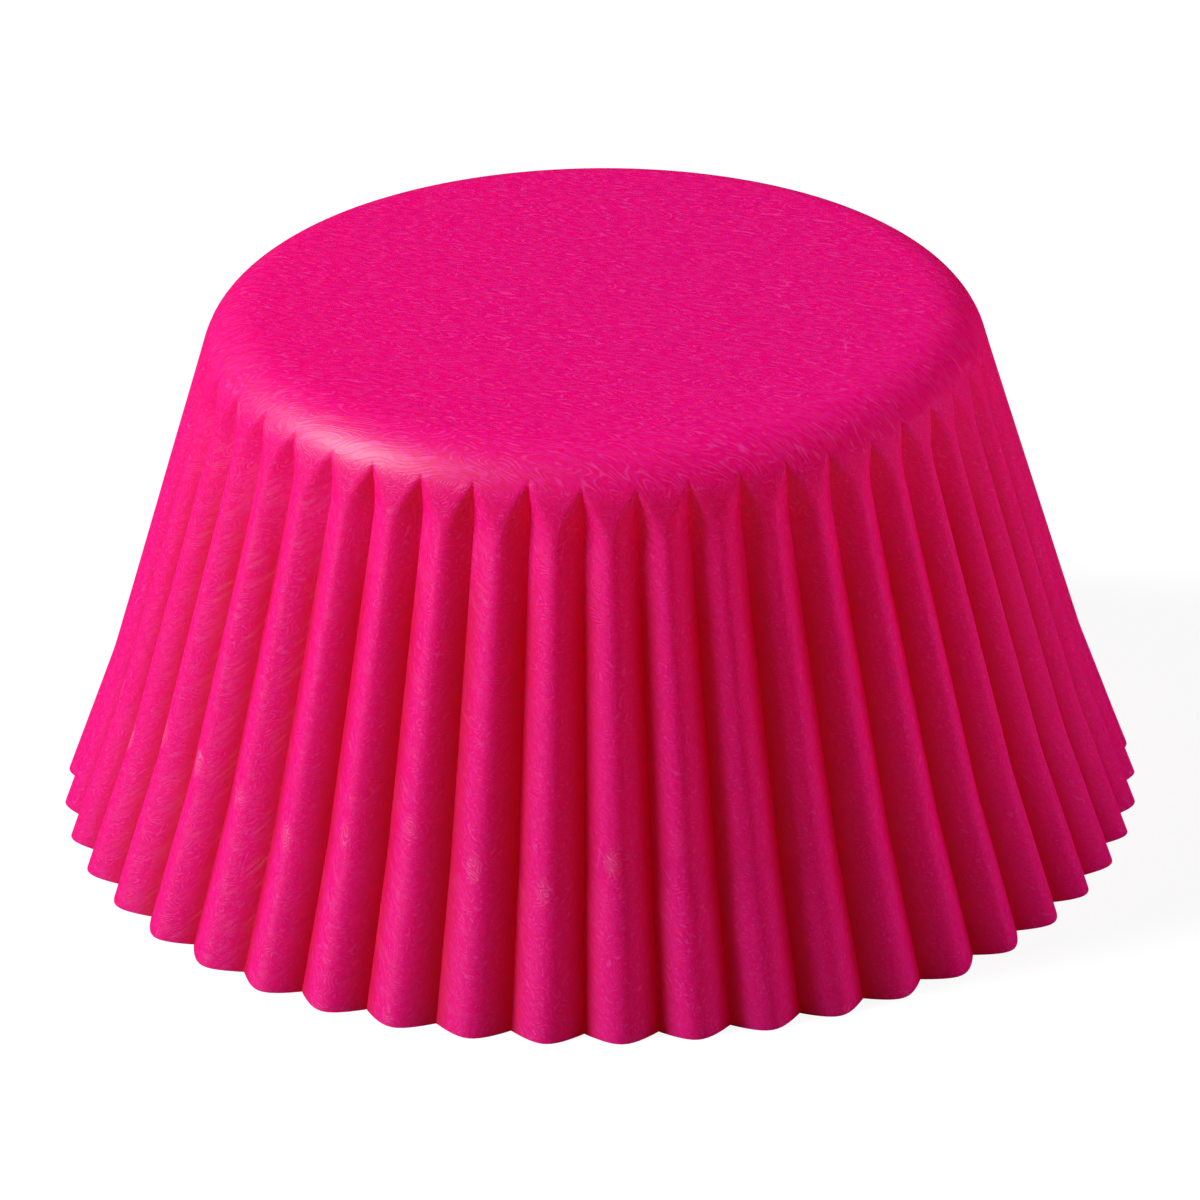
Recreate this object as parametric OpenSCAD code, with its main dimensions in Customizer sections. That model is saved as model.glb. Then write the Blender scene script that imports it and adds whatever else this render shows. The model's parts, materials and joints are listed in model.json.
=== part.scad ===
/* [Cup] */
// Diameter of the mouth, over the ridges of the flutes
rim_d = 70; // [60:0.5:90]
// Diameter of the closed base, measured as if its corner were a full quarter round
base_d = 50; // [38:0.5:58]
// Height from the rim, which it stands on, to the outside of the base
cup_h = 34; // [26:0.5:60]
// Radius of the rounded corner between the base and the wall
corner_r = 4.1; // [1.5:0.1:7]

/* [Flare] */
// Height above the rim of the faint bend where the wall starts to flare
bend_h = 9; // [4:0.5:14]
// How far the bend is set in from a straight wall
bend_dip = 0.4; // [0:0.05:1]

/* [Flutes] */
// Number of flutes round the wall
flutes = 48; // [24:2:52]
// Depth of a flute at the rim, from ridge to valley
flute_depth = 1.3; // [0.5:0.05:2]
// Share of the corner's arc that stays smooth before the valleys start
smooth_share = 0.76; // [0.4:0.02:0.9]
// Length of wall below the corner over which the flutes grow to full depth
flute_run = 2.6; // [2:0.1:6]
// Form of a flute's section: low is a narrow valley between flat ridges, high is a pointed ridge
flute_form = 1.2; // [0.8:0.05:1.6]

/* [Paper] */
// Thickness of the paper
paper_t = 0.1; // [0.06:0.01:0.2]

/* [Hidden] */
// Points to a flute where the wall is fluted, and where it is smooth
fluted_points = 8;
smooth_points = 2;
// Rings of points: round the smooth part of the corner, and down the growing flutes
corner_rings = 4;
growth_rings = 3;
// Step along the section that its direction is measured over
slope_step = 0.05;

rim_r = rim_d / 2;
// Centre of the corner's arc, which is also the edge of the flat base
corner_c = [base_d / 2 - corner_r, cup_h - corner_r];
// The bend, set in from the straight line between the base's edge and the rim
bend_r = rim_r - (rim_r - base_d / 2) * bend_h / corner_c[1] - bend_dip;
// The straight wall touches the corner's arc, so its lean follows from the two
to_bend = [bend_r - corner_c[0], corner_c[1] - bend_h];
wall_lean = atan2(to_bend[0], to_bend[1]) - asin(corner_r / norm(to_bend));
corner_turn = 90 - wall_lean;
// Lengths along the section, counted from the edge of the flat base
smooth_end = smooth_share * arc(corner_turn);
corner_end = arc(corner_turn);
full_depth = corner_end + flute_run;
bend_at = corner_end + norm(to_bend) * cos(asin(corner_r / norm(to_bend)));
rim_at = bend_at + norm([rim_r - bend_r, bend_h]);

// Length of the corner's arc over a turn in degrees
function arc(turn) = PI * corner_r * turn / 180;

// Radius and height of the paper's outer face over a ridge, at a length along the section
function section(s) =
    s < 0 ? [corner_c[0] + s, cup_h]
    : s < corner_end ? corner_c + corner_r * [sin(180 * s / (PI * corner_r)), cos(180 * s / (PI * corner_r))]
    : s < bend_at ? section_on(corner_c + corner_r * [sin(corner_turn), cos(corner_turn)],
                               [bend_r, bend_h], (s - corner_end) / (bend_at - corner_end))
    : section_on([bend_r, bend_h], [rim_r, 0], (s - bend_at) / (rim_at - bend_at));

// A point part of the way along a straight stretch of the section
function section_on(from, to, share) = from + (to - from) * share;

// How far the flutes have grown, from 0 in the corner to 1 on the wall
function growth(s) = sin(90 * max(0, min(1, (s - smooth_end) / (full_depth - smooth_end))));

// How far the outer face lies inside its ridge line, for a place across one flute from 0 to 1.
// A growing valley is a smaller copy of the full one: its width and its depth grow together
function inset(s, across) =
    let (from_valley = min(1, (1 - abs(2 * across - 1)) / max(growth(s), 0.001)),
         depth = flute_depth * growth(s) * section(s)[0] / rim_r)
    depth * (1 - pow(sin(90 * from_valley), flute_form));

// A point of the outer face, where turns counts flutes from half a flute before +X,
// so that the ridge of a flute lies on the axis and each valley is a whole number
function outer(s, turns) =
    let (place = section(s),
         r = place[0] - inset(s, turns - floor(turns)),
         a = 360 * (turns - 1 / 2) / flutes)
    [r * cos(a), r * sin(a), place[1]];

// A vector's direction, at length 1
function unit(v) = v / norm(v);

// The same point on the inner face, one thickness of paper in from the facets on both sides
function inner(s, turns, step) =
    let (here = outer(s, turns),
         down = unit(outer(s + slope_step, turns) - outer(s - slope_step, turns)),
         before = unit(cross(down, here - outer(s, turns - step))),
         after = unit(cross(down, outer(s, turns + step) - here)),
         moved = here - paper_t * (before + after) / (1 + before * after))
    s < rim_at - slope_step ? moved : moved - down * moved[2] / down[2];

// Each ring is a length along the section and its number of points to a flute
rings = concat(
    [for (i = [0:corner_rings - 1]) [smooth_end * i / (corner_rings - 1), smooth_points]],
    [[corner_end, fluted_points]],
    [for (i = [1:growth_rings]) [corner_end + flute_run * i / growth_rings, fluted_points]],
    [[bend_at, fluted_points], [rim_at, fluted_points]]);
last_ring = len(rings) - 1;

// Places of one ring's points, in flutes
function places(ring) = [for (k = [0:flutes * ring[1] - 1]) k / ring[1]];

// Number of points in the rings before ring i, after the point at the middle of the base
function start(i) = i == 0 ? 1 : start(i - 1) + flutes * rings[i - 1][1];

// Facets between ring i and the next, of which one may have more points to a flute
function strip(i) =
    let (top = flutes * rings[i][1],
         low = flutes * rings[i + 1][1],
         ratio = low / top,
         half = floor(ratio / 2),
         a = start(i),
         b = start(i + 1))
    [for (k = [0:top - 1]) each concat(
        [for (m = [0:1:half - 1]) [a + k, b + k * ratio + m, b + (k * ratio + m + 1) % low]],
        [[a + k, b + k * ratio + half, a + (k + 1) % top]],
        [for (m = [half:ratio - 1])
            [a + (k + 1) % top, b + k * ratio + m, b + (k * ratio + m + 1) % low]])];

// Facets of one whole face, with the flat base as a fan round its middle
function face_facets() = concat(
    [for (k = [0:flutes * rings[0][1] - 1]) [0, 1 + k, 1 + (k + 1) % (flutes * rings[0][1])]],
    [for (i = [0:last_ring - 1]) each strip(i)]);

module pleated_liner() {
    outer_points = concat([[0, 0, cup_h]],
        [for (ring = rings) each [for (t = places(ring)) outer(ring[0], t)]]);
    inner_points = concat([[0, 0, cup_h - paper_t]],
        [for (ring = rings) each [for (t = places(ring)) inner(ring[0], t, 1 / ring[1])]]);
    count = len(outer_points);
    edge = flutes * rings[last_ring][1];
    first = start(last_ring);
    facets = face_facets();
    cut_edge = [for (k = [0:edge - 1]) each
        let (a = first + k, b = first + (k + 1) % edge) [[a, b, a + count], [b, b + count, a + count]]];
    color([0.9, 0.03, 0.44])
        polyhedron(
            points = concat(outer_points, inner_points),
            faces = concat(
                [for (f = facets) [f[0], f[2], f[1]]],
                [for (f = facets) [f[0] + count, f[1] + count, f[2] + count]],
                cut_edge));
}

pleated_liner();
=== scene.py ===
"""An upturned cupcake liner: one sheet of dyed paper pressed into a fluted cup."""

import json
import logging
import math
from dataclasses import dataclass
from enum import Enum

import bpy
from mathutils import Matrix, Vector

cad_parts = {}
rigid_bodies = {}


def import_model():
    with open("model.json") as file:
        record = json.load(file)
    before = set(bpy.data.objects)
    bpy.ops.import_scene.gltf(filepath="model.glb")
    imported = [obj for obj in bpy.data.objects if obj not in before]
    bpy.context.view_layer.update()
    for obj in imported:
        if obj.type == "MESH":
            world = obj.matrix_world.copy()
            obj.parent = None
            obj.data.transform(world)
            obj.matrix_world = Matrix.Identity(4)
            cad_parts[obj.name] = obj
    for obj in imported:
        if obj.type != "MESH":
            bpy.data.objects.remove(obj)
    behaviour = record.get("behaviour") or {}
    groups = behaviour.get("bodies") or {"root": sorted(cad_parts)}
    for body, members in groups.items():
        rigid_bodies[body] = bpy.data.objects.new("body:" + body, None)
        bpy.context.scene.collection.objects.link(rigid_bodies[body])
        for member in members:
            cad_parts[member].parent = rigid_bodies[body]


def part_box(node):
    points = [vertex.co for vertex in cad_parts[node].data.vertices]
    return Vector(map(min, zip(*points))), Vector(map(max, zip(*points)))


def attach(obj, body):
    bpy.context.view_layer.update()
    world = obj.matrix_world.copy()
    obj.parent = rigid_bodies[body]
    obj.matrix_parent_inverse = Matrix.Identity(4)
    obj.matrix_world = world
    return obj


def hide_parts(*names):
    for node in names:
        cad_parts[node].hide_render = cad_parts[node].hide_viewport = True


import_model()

log = logging.getLogger("liner")

MM = 0.001
NODE = "pleated_liner"
SLOT = "magenta_paper"
BODY = "root"
SHEET = "sheet"

Colour = tuple[float, float, float]


class TreeKind(Enum):
    """The kinds of node tree that the script builds."""

    GEOMETRY = "GeometryNodeTree"
    SHADER = "ShaderNodeTree"


class Draw(Enum):
    """The separate random draws for each flute, by the number that sets each one apart."""

    PITCH = 0.0
    TIP = 100.0
    DEPTH = 200.0
    # The painted highlights near the bend draw their place and strength here
    GLINT_PLACE = 11.0
    GLINT_STRENGTH = 77.0


@dataclass(frozen=True)
class Field:
    """A value that varies over the sheet, as one output of a node tree."""

    tree: bpy.types.NodeTree
    socket: bpy.types.NodeSocket

    def math(self, operation: str, *others: "Field | float") -> "Field":
        """Put this value through a Math node.

        Args:
            operation: the node's operation, in Blender's word for it.
            others: the node's further inputs.

        Returns:
            The node's result.
        """
        return add_node(self.tree, "ShaderNodeMath", (self, *others), operation=operation)

    def __add__(self, other: "Field | float") -> "Field":
        """Return the sum."""
        return self.math("ADD", other)

    __radd__ = __add__

    def __mul__(self, other: "Field | float") -> "Field":
        """Return the product."""
        return self.math("MULTIPLY", other)

    __rmul__ = __mul__

    def __sub__(self, other: "Field | float") -> "Field":
        """Return the difference."""
        return self.math("SUBTRACT", other)

    def __rsub__(self, other: float) -> "Field":
        """Return the difference, counted from a plain number."""
        return self * -1.0 + other

    def __truediv__(self, other: "Field | float") -> "Field":
        """Return the quotient."""
        return self.math("DIVIDE", other)

    def __pow__(self, other: "Field | float") -> "Field":
        """Return this value raised to a power."""
        return self.math("POWER", other)

    def sin(self) -> "Field":
        """Return the sine."""
        return self.math("SINE")

    def cos(self) -> "Field":
        """Return the cosine."""
        return self.math("COSINE")

    def abs(self) -> "Field":
        """Return the value without its sign."""
        return self.math("ABSOLUTE")

    def floor(self) -> "Field":
        """Return the whole number below."""
        return self.math("FLOOR")

    def fract(self) -> "Field":
        """Return what is left over the whole number below."""
        return self.math("FRACT")

    def clamp(self, low: "Field | float" = 0.0, high: "Field | float" = 1.0) -> "Field":
        """Return the value held between two limits."""
        return self.math("MAXIMUM", low).math("MINIMUM", high)

    def ramp(self, start: "Field | float", end: "Field | float") -> "Field":
        """Rise smoothly from 0 at start to 1 at end.

        Args:
            start: the value that gives 0. It may be higher than end.
            end: the value that gives 1.

        Returns:
            The smooth step.
        """
        values = (self, start, end, 0.0, 1.0)
        return add_node(self.tree, "ShaderNodeMapRange", values, interpolation_type="SMOOTHSTEP")


def add_node(tree: bpy.types.NodeTree, kind: str, values: tuple[object, ...] = (),
             output: int | str = 0, **settings: object) -> Field:
    """Add a node, set its properties and fill its first inputs.

    Args:
        tree: the tree that gets the node.
        kind: Blender's name for the node's type.
        values: a field or constant for each input in turn; None leaves one as it is.
        output: which output to return.
        settings: properties of the node.

    Returns:
        The chosen output.
    """
    node = tree.nodes.new(kind)
    for name, value in settings.items():
        setattr(node, name, value)
    for pin, value in zip(node.inputs, values):
        fill(tree, pin, value)
    return Field(tree, node.outputs[output])


def fill(tree: bpy.types.NodeTree, pin: bpy.types.NodeSocket, value: object) -> None:
    """Give an input a field or a constant.

    Args:
        tree: the tree that the input is in.
        pin: the input.
        value: the field or constant; None leaves the input alone.
    """
    if isinstance(value, Field):
        tree.links.new(value.socket, pin)
    elif value is not None:
        pin.default_value = value


def vector(x: Field, y: "Field | float", z: "Field | float" = 0.0) -> Field:
    """Join three values into a vector."""
    return add_node(x.tree, "ShaderNodeCombineXYZ", (x, y, z))


def parts(value: Field) -> tuple[Field, Field, Field]:
    """Split a vector or colour into its three values.

    Args:
        value: the vector or colour.

    Returns:
        The three values in turn.
    """
    x = add_node(value.tree, "ShaderNodeSeparateXYZ", (value,))
    outputs = x.socket.node.outputs
    return x, Field(value.tree, outputs[1]), Field(value.tree, outputs[2])


def mixed(amount: Field, low: "Field | Colour", high: "Field | Colour") -> Field:
    """Mix two colours.

    Args:
        amount: how much of the second colour, from 0 to 1.
        low: the first colour, as a field or a constant.
        high: the second colour, in the same way.

    Returns:
        The mixed colour.
    """
    tree = amount.tree
    node = tree.nodes.new("ShaderNodeMix")
    node.data_type = "RGBA"
    for name, value in (("Factor_Float", amount), ("A_Color", low), ("B_Color", high)):
        pin = next(p for p in node.inputs if p.identifier == name)
        fill(tree, pin, (*value, 1.0) if isinstance(value, tuple) else value)
    return Field(tree, next(p for p in node.outputs if p.identifier == "Result_Color"))


class Group:
    """A node tree with named inputs and outputs."""

    def __init__(self, name: str, kind: TreeKind, inputs: dict[str, str],
                 outputs: dict[str, str]) -> None:
        """Make the tree and its sockets.

        Args:
            name: the tree's name.
            kind: what the tree is for.
            inputs: each input's name and its socket type, without NodeSocket.
            outputs: the same for the outputs.
        """
        self.tree = bpy.data.node_groups.new(name, kind.value)
        self.ids: dict[str, str] = {}
        for side, sockets in (("INPUT", inputs), ("OUTPUT", outputs)):
            for label, socket_type in sockets.items():
                socket = self.tree.interface.new_socket(
                    label, in_out=side, socket_type="NodeSocket" + socket_type)
                self.ids[label] = socket.identifier
        self._source = self.tree.nodes.new("NodeGroupInput")
        self._sink = self.tree.nodes.new("NodeGroupOutput")

    def __getitem__(self, label: str) -> Field:
        """Return the field of a named input."""
        return Field(self.tree, self._source.outputs[label])

    def give(self, label: str, value: Field) -> None:
        """Connect a field to a named output."""
        fill(self.tree, self._sink.inputs[label], value)

    def place(self, tree: bpy.types.NodeTree, output: str, **values: object) -> Field:
        """Use this group in another tree.

        Args:
            tree: the tree that gets the group.
            output: the name of the output to return.
            values: a field or constant for each input, with _ for a space in its name.

        Returns:
            The chosen output.
        """
        node = tree.nodes.new(tree.bl_idname.replace("NodeTree", "NodeGroup"))
        node.node_tree = self.tree
        for label, value in values.items():
            fill(tree, node.inputs[label.replace("_", " ")], value)
        return Field(tree, node.outputs[output])


@dataclass(frozen=True)
class CupSizes:
    """Sizes of the pressed cup, in metres."""

    rim_radius: float
    height: float
    base_radius: float = 25.0 * MM
    corner_radius: float = 4.1 * MM
    bend_height: float = 9.0 * MM
    bend_dip: float = 0.4 * MM
    bend_rounding: float = 0.8 * MM
    flutes: int = 48
    flute_depth: float = 1.3 * MM
    smooth_share: float = 0.76
    flute_run: float = 2.6 * MM
    crest_top: float = 0.18
    crest_rim: float = 0.50
    paper: float = 0.1 * MM

    @property
    def flat_radius(self) -> float:
        """Radius of the flat base, up to where its corner starts."""
        return self.base_radius - self.corner_radius

    @property
    def _to_bend(self) -> tuple[float, float]:
        """Measure from the centre of the corner's arc to the bend.

        Returns:
            The distance out and the distance down.
        """
        corner_height = self.height - self.corner_radius
        spread = (self.rim_radius - self.base_radius) / corner_height
        bend_radius = self.rim_radius - spread * self.bend_height - self.bend_dip
        return bend_radius - self.flat_radius, corner_height - self.bend_height

    @property
    def wall_lean(self) -> float:
        """Lean of the straight wall from the vertical, in radians."""
        out, down = self._to_bend
        return math.atan2(out, down) - math.asin(self.corner_radius / math.hypot(out, down))

    @property
    def wall_length(self) -> float:
        """Length of the straight wall, from the corner to the bend."""
        return math.sqrt(sum(x * x for x in self._to_bend) - self.corner_radius ** 2)

    @property
    def flare_out(self) -> float:
        """How far the rim stands out from the bend."""
        return self.rim_radius - self.flat_radius - self._to_bend[0]

    @property
    def flare_length(self) -> float:
        """Length of the flare, from the bend to the rim."""
        return math.hypot(self.flare_out, self.bend_height)

    @property
    def flare_lean(self) -> float:
        """Lean of the flare from the vertical, in radians."""
        return math.atan2(self.flare_out, self.bend_height)

    @property
    def corner_turn(self) -> float:
        """Turn of the corner's arc, in radians."""
        return math.pi / 2 - self.wall_lean

    @property
    def corner_end(self) -> float:
        """Length along the section from the middle of the base to the end of the corner."""
        return self.flat_radius + self.corner_radius * self.corner_turn

    @property
    def bend_at(self) -> float:
        """Length along the section to the bend."""
        return self.corner_end + self.wall_length

    @property
    def section_length(self) -> float:
        """Length along the section to the rim."""
        return self.bend_at + self.flare_length


@dataclass(frozen=True)
class HandPressed:
    """How far the real cup strays from an even one."""

    drift_deg: float = 4.05
    drift_phase_deg: float = 74.4
    turn_deg: float = -5.82
    pitch_jitter: float = 0.035
    tip_jitter: float = 0.3 * MM
    depth_jitter: float = 0.1
    waver: float = 0.06 * MM
    waver_scale: float = 70.0
    seed: int = 7


@dataclass(frozen=True)
class SheetGrid:
    """How finely the sheet is divided.

    The rows are counted for each stretch from the middle of the base to the rim, and then
    for each stretch back up the inner face.
    """

    points: int = 20
    crowding: float = 0.45
    outer_rows: tuple[int, ...] = (4, 20, 16, 6, 6, 6)
    inner_rows: tuple[int, ...] = (5, 6, 4, 8, 8, 3)
    bend_zone: float = 1.5 * MM
    weld: float = 0.001 * MM
    crease_deg: float = 40.0


class LinerShape:
    """The fluted cup as a Geometry Nodes tree with named sizes."""

    LEAST_GROWTH = 1e-3
    LEAST_PITCH = 1e-6
    STEEPEST_FLANK = 1.4
    FLANK_GAIN = 20.0

    def __init__(self, sizes: CupSizes, pressed: HandPressed, mesh: SheetGrid) -> None:
        """Keep what the tree is built from.

        Args:
            sizes: the cup's sizes.
            pressed: how uneven it is.
            mesh: how finely the sheet is divided.
        """
        self.sizes = sizes
        self.pressed = pressed
        self.mesh = mesh

    def _inputs(self) -> dict[str, float]:
        """List the sizes that the tree takes in.

        Returns:
            The inputs' values by name.
        """
        cup, hand = self.sizes, self.pressed
        return {
            "Flat radius": cup.flat_radius,
            "Height": cup.height,
            "Corner radius": cup.corner_radius,
            "Corner turn": cup.corner_turn,
            "Wall length": cup.wall_length,
            "Wall lean": cup.wall_lean,
            "Flare lean": cup.flare_lean,
            "Bend rounding": cup.bend_rounding,
            "Rim radius": cup.rim_radius,
            "Flutes": float(cup.flutes),
            "Flute depth": cup.flute_depth,
            "Smooth share": cup.smooth_share,
            "Flute run": cup.flute_run,
            "Crest top": cup.crest_top,
            "Crest rim": cup.crest_rim,
            "Paper": cup.paper,
            "Drift": math.radians(hand.drift_deg),
            "Drift phase": math.radians(hand.drift_phase_deg),
            "Turn": math.radians(hand.turn_deg),
            "Pitch jitter": hand.pitch_jitter,
            "Tip jitter": hand.tip_jitter,
            "Depth jitter": hand.depth_jitter,
            "Waver": hand.waver,
            "Waver scale": hand.waver_scale,
            "Seed": float(hand.seed),
        }

    def _stretches(self) -> list[tuple[int, float]]:
        """Divide the sheet's rows into stretches.

        They run from the middle of the base down the outer face to the rim, across the
        cut edge, where the length stands still, and back up the inner face.

        Returns:
            Each stretch's number of rows and the length that it covers.
        """
        cup, zone = self.sizes, self.mesh.bend_zone
        stations = (0.0, cup.flat_radius, cup.corner_end, cup.corner_end + cup.flute_run,
                    cup.bend_at - zone, cup.bend_at + zone, cup.section_length)
        lengths = [b - a for a, b in zip(stations, stations[1:])]
        down = list(zip(self.mesh.outer_rows, lengths))
        up = list(zip(self.mesh.inner_rows, (-length for length in reversed(lengths))))
        return down + [(1, 0.0)] + up

    def _length_along(self, row: Field) -> Field:
        """Turn a row's number into its length along the section.

        Args:
            row: the number, counted from the middle of the outer face.

        Returns:
            The length from the middle of the base.
        """
        along, start = row * 0.0, 0
        for rows, length in self._stretches():
            along = along + ((row - start) / rows).clamp() * length
            start += rows
        return along

    def _jitter(self, group: Group, turns: Field, amount: str, draw: Draw) -> Field:
        """Give each valley a random value, and blend from one to the next.

        Args:
            group: the tree, for its inputs.
            turns: the place round the cup, in flutes.
            amount: the name of the input with the largest value.
            draw: which of the random draws it is.

        Returns:
            The value, from minus to plus the amount.
        """
        ends = []
        for step in (0.0, 1.0):
            valley = (turns.floor() + step).math("FLOORED_MODULO", group["Flutes"])
            value = add_node(group.tree, "ShaderNodeTexWhiteNoise",
                             (None, valley + group["Seed"] + draw.value), noise_dimensions="1D")
            ends.append(value * 2.0 - 1.0)
        share = turns.fract()
        return (ends[0] * (1.0 - share) + ends[1] * share) * group[amount]

    def _place(self, group: Group, turns: Field, along: Field, inner: Field) -> Field:
        """Work out where a point of the sheet lies.

        Args:
            group: the tree, for its inputs.
            turns: the place round the cup, in flutes, with a valley at each whole number.
            along: the length along the section from the middle of the base.
            inner: 1 on the inner face and 0 on the outer.

        Returns:
            The point.
        """
        # The section over a ridge: flat base, corner, straight wall and flare
        radius_of_arc = group["Corner radius"]
        past_flat = along - group["Flat radius"]
        turned = (past_flat / radius_of_arc).clamp(0.0, group["Corner turn"])
        wall = past_flat - radius_of_arc * group["Corner turn"]
        flare = (wall - group["Wall length"]).math("SMOOTH_MAX", 0.0, group["Bend rounding"])
        straight = wall.math("MAXIMUM", 0.0) - flare
        radius = (along.math("MINIMUM", group["Flat radius"]) + radius_of_arc * turned.sin()
                  + straight * group["Wall lean"].sin() + flare * group["Flare lean"].sin())
        height = (group["Height"] - radius_of_arc * (1.0 - turned.cos())
                  - straight * group["Wall lean"].cos() - flare * group["Flare lean"].cos())

        # A growing valley is a smaller copy of the full one, in width and depth
        smooth = (radius_of_arc * group["Corner turn"] * group["Smooth share"]
                  + self._jitter(group, turns, "Tip jitter", Draw.TIP))
        full = radius_of_arc * group["Corner turn"] + group["Flute run"]
        growth = (((past_flat - smooth) / (full - smooth)).clamp() * (math.pi / 2)).sin()
        fall = 1.0 - height / group["Height"]
        crest = group["Crest top"] + (group["Crest rim"] - group["Crest top"]) * fall
        depth = (group["Flute depth"] * (radius / group["Rim radius"])
                 * (1.0 + self._jitter(group, turns, "Depth jitter", Draw.DEPTH)))
        from_crest = (turns.fract() * 2.0 - 1.0).abs()
        away = 1.0 - ((1.0 - from_crest) / growth.math("MAXIMUM", self.LEAST_GROWTH)).clamp()
        reach = (1.0 + crest * crest) ** 0.5 - crest
        rounded = (away * away + crest * crest) ** 0.5
        inset = depth * growth * (rounded - crest) / reach

        # The paper is as thick on a flank, measured square to it, as on a ridge
        pitch = radius * (2 * math.pi) / group["Flutes"] + self.LEAST_PITCH
        steepness = depth * 2.0 * away / (rounded * reach * pitch)
        slope = steepness.clamp(0.0, self.STEEPEST_FLANK) * (growth * self.FLANK_GAIN).clamp()
        thickness = group["Paper"] * (1.0 + slope * slope) ** 0.5 * inner
        inward = radius - inset - thickness * turned.sin()
        lowered = (height - thickness * turned.cos()).math("MAXIMUM", 0.0)

        # The pitch drifts slowly round the cup, besides each valley's own draw
        even = ((turns + self._jitter(group, turns, "Pitch jitter", Draw.PITCH))
                * (2 * math.pi) / group["Flutes"] + group["Turn"])
        angle = even + group["Drift"] * (even + group["Drift phase"]).sin()
        # The waver moves the wall in and out a little, and leaves the base flat
        point = vector(inward * angle.sin(), inward * angle.cos() * -1.0, lowered)
        noise = add_node(group.tree, "ShaderNodeTexNoise",
                         (point, None, group["Waver scale"], 1.0), noise_dimensions="3D")
        waver = (noise - 0.5) * 2.0 * group["Waver"] * (past_flat / group["Flute run"]).clamp()
        inward = inward + waver
        return vector(inward * angle.sin(), inward * angle.cos() * -1.0, lowered)

    def tree(self) -> Group:
        """Build the tree.

        Returns:
            The tree, whose inputs are the sizes and the paper's material.
        """
        sockets = {label: "Float" for label in self._inputs()}
        group = Group("fluted cup", TreeKind.GEOMETRY,
                      {"Geometry": "Geometry", "Material": "Material", **sockets},
                      {"Geometry": "Geometry"})
        tree = group.tree
        rows = sum(count for count, _ in self._stretches())
        columns = self.sizes.flutes * self.mesh.points
        sheet = add_node(tree, "GeometryNodeMeshGrid", (1.0, 1.0, columns + 1, rows + 1))
        # The grid is 1 by 1 round its middle, and its points crowd towards the valleys
        x, y, _ = parts(add_node(tree, "GeometryNodeInputPosition"))
        even = (x + 0.5) * group["Flutes"]
        turns = even - (even * (2 * math.pi)).sin() * (self.mesh.crowding / (2 * math.pi))
        row = (y + 0.5) * rows
        along = self._length_along(row)
        inner = row.math("GREATER_THAN", sum(self.mesh.outer_rows) + 0.5)
        kept = add_node(tree, "GeometryNodeStoreNamedAttribute",
                        (sheet, True, SHEET, vector(turns, along / MM, inner)),
                        data_type="FLOAT_VECTOR", domain="CORNER")
        placed = add_node(tree, "GeometryNodeSetPosition",
                          (kept, True, self._place(group, turns, along, inner)))
        welded = add_node(tree, "GeometryNodeMergeByDistance", (placed, True))
        fill(tree, welded.socket.node.inputs["Distance"], self.mesh.weld)
        # The rows run down the outer face, so the grid's own faces point into the paper
        outward = add_node(tree, "GeometryNodeFlipFaces", (welded, True))
        smooth = add_node(tree, "GeometryNodeSetShadeSmooth", (outward, True, True))
        angle = add_node(tree, "GeometryNodeInputMeshEdgeAngle")
        crease = angle.math("GREATER_THAN", math.radians(self.mesh.crease_deg))
        creased = add_node(tree, "GeometryNodeSetShadeSmooth", (smooth, crease, False),
                           domain="EDGE")
        real = add_node(tree, "GeometryNodeRealizeInstances", (creased,))
        group.give("Geometry", add_node(tree, "GeometryNodeSetMaterial",
                                        (real, True, group["Material"])))
        return group

    def build(self, material: bpy.types.Material) -> bpy.types.Object:
        """Make the cup as a plain mesh.

        Args:
            material: the paper.

        Returns:
            The cup's object, at the origin.
        """
        group = self.tree()
        maker = bpy.data.objects.new("cup_maker", bpy.data.meshes.new("cup_maker"))
        bpy.context.collection.objects.link(maker)
        modifier = maker.modifiers.new("fluted cup", "NODES")
        modifier.node_group = group.tree
        modifier[group.ids["Material"]] = material
        for label, value in self._inputs().items():
            modifier[group.ids[label]] = value
        evaluated = maker.evaluated_get(bpy.context.evaluated_depsgraph_get())
        mesh = bpy.data.meshes.new_from_object(evaluated)
        mesh.name = "liner_sheet"
        bpy.data.objects.remove(maker)
        cup = bpy.data.objects.new("liner_sheet", mesh)
        bpy.context.collection.objects.link(cup)
        return cup


@dataclass(frozen=True)
class FibreLook:
    """Fine curled fibres in the face of the paper, drawn as the contour lines of a noise.

    The noise's swirls are long by apart, in millimetres. Its whole range holds so many
    lines, and half is the share of the gap between two that one fades over on each side.
    """

    long: float = 1.25
    apart: float = 0.85
    slant_deg: float = 8.0
    lines: float = 9.0
    half: float = 0.22


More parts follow.
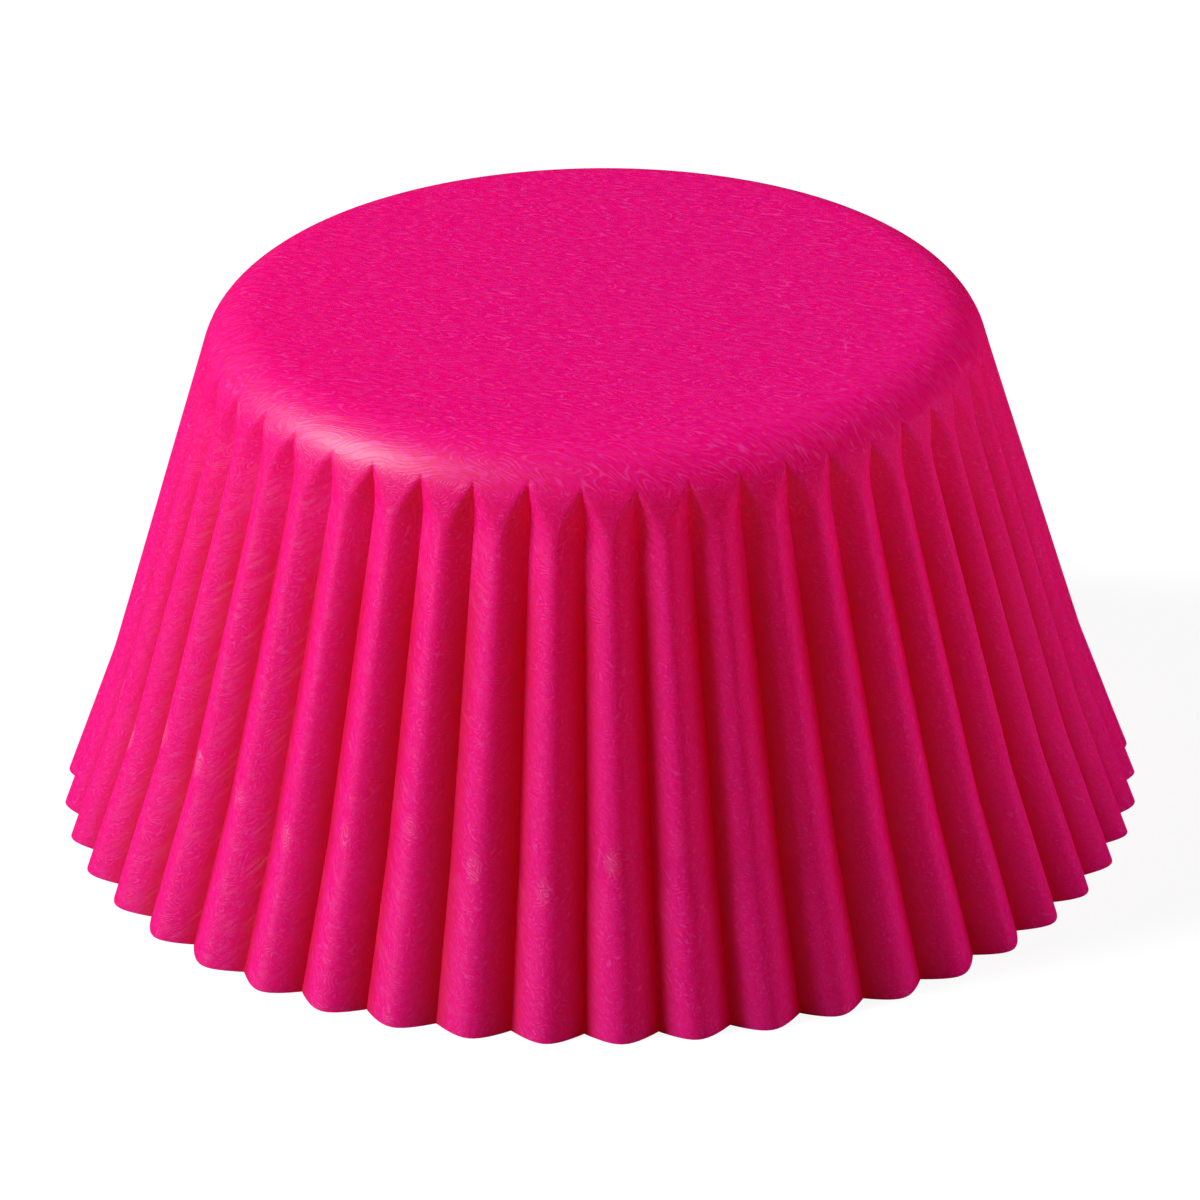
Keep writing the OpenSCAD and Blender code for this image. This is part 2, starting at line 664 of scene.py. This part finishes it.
@dataclass(frozen=True)
class PaperFinish:
    """Dyed greaseproof paper, which lets red light through.

    Lengths are in millimetres on the sheet, apart from the height of the relief.
    """

    dye: Colour = (0.93, 0.0003, 0.33)
    pale_dye: Colour = (0.97, 0.0040, 0.55)
    # Painted shade in the valleys: a darker colour, and a darker colour through the paper
    painted_valley_shade: Colour = (0.76, 0.0004, 0.14)
    through: Colour = (0.98, 0.0, 0.016)
    painted_valley_shade_through: Colour = (0.93, 0.0, 0.012)
    through_share: float = 0.68
    fibre: Colour = (0.98, 0.105, 0.74)
    roughness: float = 0.43
    refraction: float = 1.70
    specular: float = 0.46
    fibre_tint: float = 0.70
    fibre_height: float = 0.0055 * MM
    grain_scale: float = 7.0
    grain_from: float = 0.3
    grain_to: float = 0.7
    patch_scale: float = 3.0
    patch_from: float = 0.34
    patch_to: float = 0.60
    arc_bow: float = 0.50
    flute_shift: float = 7.3
    wall_lead: float = 1.0
    look: FibreLook = FibreLook()
    base_slant_deg: float = 24.0
    base_stretch: float = 3.0
    # How far the valleys' painted shade reaches, and where it grows in below the corner
    valley_shade_half: float = 1.25
    valley_shade_start: float = 1.0
    valley_shade_full: float = 9.0
    # Painted highlights: a pale mark on each ridge near the bend, on the lit left side
    painted_glint: Colour = (1.00, 0.45, 0.90)
    glint_above_bend: float = 1.0
    glint_spread: float = 3.6
    glint_long: float = 1.1
    glint_wide: float = 0.60
    glint_aside: float = 0.35
    glint_vary: float = 0.7
    glint_fibre: float = 0.85
    glint_from: float = 8.0
    glint_full: float = -8.0

    def _fibre_group(self) -> Group:
        """Build the group that draws the fibres as the contour lines of a noise.

        Returns:
            A group that takes a place in millimetres and gives a mask.
        """
        names = ("Long", "Apart", "Slant", "Lines", "Half")
        group = Group("fine fibres", TreeKind.SHADER,
                      {"Place": "Vector", **{name: "Float" for name in names}},
                      {"Mask": "Float"})
        x, y, _ = parts(group["Place"])
        slant = group["Slant"]
        run = (x * slant.cos() + y * slant.sin()) / group["Long"]
        aside = (y * slant.cos() - x * slant.sin()) / group["Apart"]
        noise = add_node(group.tree, "ShaderNodeTexNoise",
                         (vector(run, aside), None, 1.0, 0.0), noise_dimensions="2D")
        group.give("Mask", ((noise * group["Lines"]).fract() - 0.5).abs().ramp(group["Half"], 0.0))
        return group

    def _painted_valley_shade(self, turns: Field, along: Field, radius: Field, sizes: CupSizes) -> Field:
        """Paint shade into each valley, darkest at its bottom and fading up its lower flanks.

        Args:
            turns: the place round the cup, in flutes.
            along: the length along the section, in millimetres.
            radius: the distance from the axis, in millimetres.
            sizes: the cup's sizes.

        Returns:
            A mask, 1 at the bottom of the valley and 0 well up its flanks.
        """
        pitch = radius * (2 * math.pi / sizes.flutes)
        aside = (0.5 - (turns.fract() - 0.5).abs()) * pitch
        corner_end = sizes.corner_end / MM
        grown = along.ramp(corner_end + self.valley_shade_start, corner_end + self.valley_shade_full)
        return aside.ramp(self.valley_shade_half, 0.0) * grown

    def _painted_glint(self, turns: Field, across: Field, along: Field, sizes: CupSizes) -> Field:
        """Paint a pale highlight on each ridge near the bend, a little to the lit side of its
        middle.

        Args:
            turns: the place round the cup, in flutes.
            across: the distance from the middle of the ridge, in millimetres.
            along: the length along the section, in millimetres.
            sizes: the cup's sizes.

        Returns:
            A mask, 1 in the middle of a strong mark.
        """
        spot, strength = (
            add_node(turns.tree, "ShaderNodeTexWhiteNoise", (None, turns.floor() + draw.value),
                     noise_dimensions="1D")
            for draw in (Draw.GLINT_PLACE, Draw.GLINT_STRENGTH))
        middle = (spot - 0.5) * self.glint_spread + (sizes.bend_at / MM - self.glint_above_bend)
        down = (along - middle) / self.glint_long
        aside = (across + self.glint_aside) / self.glint_wide
        vary = strength * self.glint_vary + (1.0 - self.glint_vary)
        return (down * down + aside * aside).ramp(1.0, 0.0) * vary

    def material(self, sizes: CupSizes) -> bpy.types.Material:
        """Build the material.

        Args:
            sizes: the cup's sizes, for where its corner and bend lie.

        Returns:
            The paper, which reads the sheet's own attribute.
        """
        paper = bpy.data.materials.new(SLOT)
        paper.use_nodes = True
        tree = paper.node_tree
        shader = tree.nodes["Principled BSDF"]
        # Where on the sheet a point lies: each flute's pattern bows over its ridge
        turns, along, _ = parts(add_node(tree, "ShaderNodeAttribute", output="Vector",
                                         attribute_name=SHEET))
        point = add_node(tree, "ShaderNodeTexCoord", output="Object")
        x, y, _ = parts(point)
        x, y = x / MM, y / MM
        radius = (x * x + y * y) ** 0.5
        across = (turns.fract() - 0.5) * radius * (2 * math.pi / sizes.flutes)
        wall_x = across + turns.floor() * self.flute_shift
        wall_y = along + across * across * self.arc_bow

        # On the base the fibres run long and straight
        slant = math.radians(self.base_slant_deg)
        base_x = (x * math.cos(slant) - y * math.sin(slant)) / self.base_stretch
        base_y = x * math.sin(slant) + y * math.cos(slant)
        on_wall = along.math("GREATER_THAN", sizes.corner_end / MM - self.wall_lead)
        place = vector(base_x + (wall_x - base_x) * on_wall, base_y + (wall_y - base_y) * on_wall)

        look = self.look
        fibre = self._fibre_group().place(
            tree, "Mask", Place=place, Long=look.long, Apart=look.apart,
            Slant=math.radians(look.slant_deg), Lines=look.lines, Half=look.half)
        patches = add_node(tree, "ShaderNodeTexNoise", (place, None, self.patch_scale, 0.0),
                           noise_dimensions="2D")
        seen = fibre * patches.ramp(self.patch_from, self.patch_to)
        grain = add_node(tree, "ShaderNodeTexNoise", (place, None, self.grain_scale, 0.0),
                         noise_dimensions="2D")

        # Painted highlight on each ridge near the bend, to the lit side of its middle
        painted_glint = self._painted_glint(turns, across, along, sizes)
        # Painted shade: each valley is darkened, and gets no fibre tint
        crease = self._painted_valley_shade(turns, along, radius, sizes)
        dye = mixed(grain.ramp(self.grain_from, self.grain_to), self.dye, self.pale_dye)
        plain = mixed(crease, dye, self.painted_valley_shade)
        lined = mixed(seen * self.fibre_tint * (1.0 - crease), plain, self.fibre)
        # Only the cup's lit left side gets the painted highlights
        lit_side = x.ramp(self.glint_from, self.glint_full)
        rough = fibre * self.glint_fibre + (1.0 - self.glint_fibre)
        highlighted = mixed(painted_glint * lit_side * rough, lined, self.painted_glint)
        fill(tree, shader.inputs["Base Color"], highlighted)

        bump = add_node(tree, "ShaderNodeBump", output="Normal")
        fill(tree, bump.socket.node.inputs["Strength"], 1.0)
        fill(tree, bump.socket.node.inputs["Distance"], self.fibre_height)
        fill(tree, bump.socket.node.inputs["Height"], fibre + grain)
        fill(tree, shader.inputs["Normal"], bump)
        shader.inputs["Roughness"].default_value = self.roughness
        shader.inputs["IOR"].default_value = self.refraction
        shader.inputs["Specular IOR Level"].default_value = self.specular
        # The light through the paper is also painted darker in the valleys, as shade
        through = add_node(tree, "ShaderNodeBsdfTranslucent",
                           (mixed(crease, self.through, self.painted_valley_shade_through),))
        sheet = add_node(tree, "ShaderNodeMixShader",
                         (self.through_share, Field(tree, shader.outputs[0]), through))
        fill(tree, tree.nodes["Material Output"].inputs["Surface"], sheet)
        return paper


@dataclass(frozen=True)
class Lamp:
    """One soft lamp that looks at the cup."""

    name: str
    azimuth_deg: float
    elevation_deg: float
    distance: float
    size: float
    watts: float
    glossy: bool = True

    def build(self, target: Vector) -> bpy.types.Object:
        """Make the lamp.

        Args:
            target: the point it looks at.

        Returns:
            The lamp's object.
        """
        data = bpy.data.lights.new(self.name, "AREA")
        data.shape = "SQUARE"
        data.size = self.size
        data.energy = self.watts
        lamp = bpy.data.objects.new(self.name, data)
        lamp.visible_glossy = self.glossy
        bpy.context.collection.objects.link(lamp)
        toward = direction(self.azimuth_deg, self.elevation_deg)
        lamp.location = target + toward * self.distance
        lamp.rotation_euler = toward.to_track_quat("Z", "Y").to_euler()
        return lamp


def direction(azimuth_deg: float, elevation_deg: float) -> Vector:
    """Find the way from the cup to a place round it.

    Args:
        azimuth_deg: the turn round the cup, from 0 in front to 90 on its right.
        elevation_deg: the height over the floor, as an angle.

    Returns:
        The direction, at length 1.
    """
    azimuth, elevation = math.radians(azimuth_deg), math.radians(elevation_deg)
    level = math.cos(elevation)
    return Vector((math.sin(azimuth) * level, -math.cos(azimuth) * level, math.sin(elevation)))


@dataclass(frozen=True)
class Studio:
    """The pale floor and the light."""

    floor_half: float = 3.0
    floor_depth: float = 0.02 * MM
    floor_glow: float = 0.90
    floor_tone: float = 0.12
    floor_bounce: float = 0.26
    surround: float = 0.03
    mirrored: float = 0.02
    lamps: tuple[Lamp, ...] = (
        Lamp("key", azimuth_deg=-84.0, elevation_deg=37.0, distance=1.5, size=0.40, watts=42.0),
        Lamp("soft_fill", azimuth_deg=95.0, elevation_deg=22.0, distance=0.6, size=0.50,
             watts=3.0, glossy=False),
    )

    def floor(self) -> bpy.types.Object:
        """Make the floor that the rim stands on.

        Returns:
            The floor's object, which isn't part of the cup.
        """
        half, depth = self.floor_half, -self.floor_depth
        mesh = bpy.data.meshes.new("floor")
        corners = [(-half, -half, depth), (half, -half, depth), (half, half, depth),
                   (-half, half, depth)]
        mesh.from_pydata(corners, [], [(0, 1, 2, 3)])
        mesh.materials.append(self._floor_material())
        floor = bpy.data.objects.new("floor", mesh)
        bpy.context.collection.objects.link(floor)
        return floor

    def _floor_material(self) -> bpy.types.Material:
        """Make the floor white to the camera, with a soft shadow, and a plain grey to the cup.

        Returns:
            The floor's material.
        """
        material = bpy.data.materials.new("pale_floor")
        material.use_nodes = True
        tree = material.node_tree
        tree.nodes.clear()
        seen = add_node(tree, "ShaderNodeLightPath", output="Is Camera Ray")
        glossy = Field(tree, seen.socket.node.outputs["Is Glossy Ray"])
        glow = add_node(tree, "ShaderNodeEmission", (None, self.floor_glow))
        shade = add_node(tree, "ShaderNodeBsdfDiffuse", ((*(self.floor_tone,) * 3, 1.0),))
        shown = add_node(tree, "ShaderNodeAddShader", (glow, shade))
        tone = self.floor_bounce * (1.0 - glossy)
        bounce = add_node(tree, "ShaderNodeBsdfDiffuse", (vector(tone, tone, tone),))
        either = add_node(tree, "ShaderNodeMixShader", (seen, bounce, shown))
        sink = tree.nodes.new("ShaderNodeOutputMaterial")
        fill(tree, sink.inputs["Surface"], either)
        return material

    def world(self) -> None:
        """Surround the cup with white for the camera and an even fill for the rest."""
        world = bpy.data.worlds.new("studio")
        world.use_nodes = True
        bpy.context.scene.world = world
        tree = world.node_tree
        rays = add_node(tree, "ShaderNodeLightPath", output="Is Camera Ray")
        glossy = Field(tree, rays.socket.node.outputs["Is Glossy Ray"])
        strength = (rays * (1.0 - self.surround) + self.surround
                    + glossy * (self.mirrored - self.surround))
        back = tree.nodes["Background"]
        back.inputs["Color"].default_value = (1.0, 1.0, 1.0, 1.0)
        fill(tree, back.inputs["Strength"], strength)


@dataclass(frozen=True)
class PhotoCamera:
    """The camera at the photograph's viewing angle, fitted in the cup's own frame."""

    aim: tuple[float, float, float] = (0.119 * MM, 0.0, 12.764 * MM)
    distance: float = 398.69 * MM
    elevation_deg: float = 26.236
    roll_deg: float = -0.755
    focal_px: float = 6165.1
    picture_px: float = 1200.0
    sensor_mm: float = 36.0
    clip_reach: float = 100.0

    def build(self) -> bpy.types.Object:
        """Make the camera and set it as the scene's own.

        Returns:
            The camera's object.
        """
        data = bpy.data.cameras.new("photo_camera")
        data.sensor_width = self.sensor_mm
        data.lens = self.focal_px / self.picture_px * self.sensor_mm
        data.clip_start = self.distance / self.clip_reach
        data.clip_end = self.distance * self.clip_reach
        camera = bpy.data.objects.new("photo_camera", data)
        bpy.context.collection.objects.link(camera)
        back = direction(0.0, self.elevation_deg)
        level = Vector((1.0, 0.0, 0.0))
        upright = back.cross(level)
        roll = math.radians(self.roll_deg)
        right = level * math.cos(roll) + upright * math.sin(roll)
        turn = Matrix((right, back.cross(right), back)).transposed()
        place = Matrix.Translation(Vector(self.aim) + back * self.distance)
        camera.matrix_world = place @ turn.to_4x4()
        bpy.context.scene.camera = camera
        return camera


def main() -> None:
    """Build the cup, its paper and the studio."""
    logging.basicConfig(level=logging.INFO, format="%(name)s: %(message)s")
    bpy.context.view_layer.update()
    low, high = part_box(NODE)
    sizes = CupSizes(rim_radius=high.x, height=high.z - low.z)
    paper = PaperFinish().material(sizes)
    cup = LinerShape(sizes, HandPressed(), SheetGrid()).build(paper)
    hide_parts(NODE)
    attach(cup, BODY)
    log.info("%s: %d points, %d faces", cup.name, len(cup.data.vertices), len(cup.data.polygons))

    studio = Studio()
    log.info("stage: %s", studio.floor().name)
    studio.world()
    target = Vector((0.0, 0.0, sizes.height / 2))
    for lamp in studio.lamps:
        log.info("lamp: %s", lamp.build(target).name)
    log.info("camera: %s", PhotoCamera().build().name)

    bpy.context.scene.view_settings.view_transform = "Standard"


if __name__ == "__main__":
    main()
